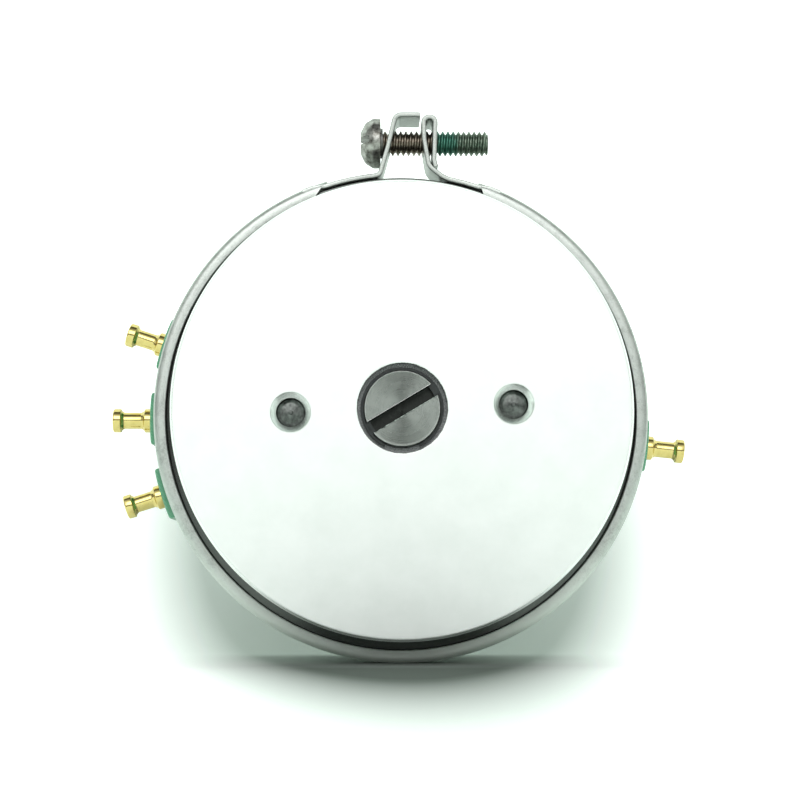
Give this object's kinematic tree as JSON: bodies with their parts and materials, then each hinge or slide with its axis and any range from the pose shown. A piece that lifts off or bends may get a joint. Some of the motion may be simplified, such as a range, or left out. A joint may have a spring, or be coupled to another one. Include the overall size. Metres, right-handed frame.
{
  "type": "precision rotary potentiometer",
  "caption": "Round servo-mount rotary potentiometer with a slotted shaft end, a channel clamp band and gold turret terminals on green pads.",
  "frame": {"origin": "on the shaft's axis, in the plane of the mounting face", "axes": "+Y along the shaft towards its free end, +Z towards the clamp band's ears, +X to the right as seen from behind the rear cover"},
  "size_m": [0.0504, 0.0383, 0.0468],
  "materials": {
    "cover_aluminium": "fine satin anodised",
    "body_aluminium": "satin, machined",
    "band_steel": "satin stainless strip, rolled",
    "screw_steel": "stainless, worn",
    "washer_steel": "dull",
    "lid_screw_steel": "satin",
    "shaft_steel": "lathe-faced, dark",
    "bearing_steel": "ground",
    "ball_steel": "polished",
    "cage_brass": "satin",
    "spring_steel": "blackened",
    "pin_steel": "dark, oiled",
    "spacer_steel": "turned",
    "pad_laminate": "green glass-epoxy",
    "gold": "gold-plated",
    "element_insulation": "moulded",
    "resistance_wire": "fine winding",
    "hub_insulation": "phenolic",
    "pickup_insulation": "green laminate",
    "contact_alloy": "spring alloy",
    "lead_copper": "tinned"
  },
  "bodies": {
    "stator": {"front_lid": "body_aluminium", "housing": "body_aluminium", "rear_cover": "cover_aluminium", "cover_pins": "pin_steel", "clamp_band": "band_steel", "lid_screws": "lid_screw_steel", "terminal_pad_1": "pad_laminate", "terminal_pad_2": "pad_laminate", "terminal_pad_3": "pad_laminate", "terminal_pad_4": "pad_laminate", "turret_terminal_1": "gold", "turret_terminal_2": "gold", "turret_terminal_3": "gold", "turret_terminal_4": "gold", "front_bearing_outer_ring": "bearing_steel", "rear_bearing_outer_ring": "bearing_steel", "front_bearing_shield": "bearing_steel", "rear_bearing_shield": "bearing_steel", "preload_washer": "spring_steel", "element_base": "element_insulation", "resistance_winding": "resistance_wire", "end_contact_1": "gold", "end_contact_3": "gold", "tap_contact": "gold", "lead_wire_1": "lead_copper", "lead_wire_2": "lead_copper", "lead_wire_3": "lead_copper", "lead_wire_4": "lead_copper", "pickup_block": "pickup_insulation", "pickup_brushes": "contact_alloy"},
    "rotor": {"shaft": "shaft_steel", "front_retaining_ring": "spring_steel", "rear_retaining_ring": "spring_steel", "front_spacer": "spacer_steel", "rear_spacer": "spacer_steel", "front_bearing_inner_ring": "bearing_steel", "rear_bearing_inner_ring": "bearing_steel", "rotor_hub": "hub_insulation", "hub_screw": "spring_steel", "slip_ring": "gold", "wiper_arm": "contact_alloy", "wiper_brush": "contact_alloy"},
    "front_ball_set": {"front_bearing_balls": "ball_steel", "front_bearing_cage": "cage_brass"},
    "rear_ball_set": {"rear_bearing_balls": "ball_steel", "rear_bearing_cage": "cage_brass"},
    "washer": {"screw_washer": "washer_steel"},
    "screw": {"clamp_screw": "screw_steel"}
  },
  "joints": [
    {"name": "shaft_spin", "type": "hinge", "parent": "stator", "child": "rotor", "pos_m": [0, 0, 0], "axis": [0, 1, 0], "continuous": true},
    {"name": "front_balls_roll", "type": "hinge", "parent": "stator", "child": "front_ball_set", "pos_m": [0, 0, 0], "axis": [0, 1, 0], "continuous": true},
    {"name": "rear_balls_roll", "type": "hinge", "parent": "stator", "child": "rear_ball_set", "pos_m": [0, 0, 0], "axis": [0, 1, 0], "continuous": true},
    {"name": "screw_advance", "type": "slide", "parent": "stator", "child": "washer", "axis": [-1, 0, 0], "range_m": [0, 0.00317]},
    {"name": "screw_turn", "type": "hinge", "parent": "washer", "child": "screw", "pos_m": [0, -0.01735, 0.0236], "axis": [-1, 0, 0], "range_deg": [0, 2520]}
  ],
  "couplings": [
    {"joint": "front_balls_roll", "follows": "shaft_spin", "ratio": 0.41664},
    {"joint": "rear_balls_roll", "follows": "shaft_spin", "ratio": 0.41664},
    {"joint": "screw_turn", "follows": "screw_advance", "rad_per_m": 13851}
  ]
}
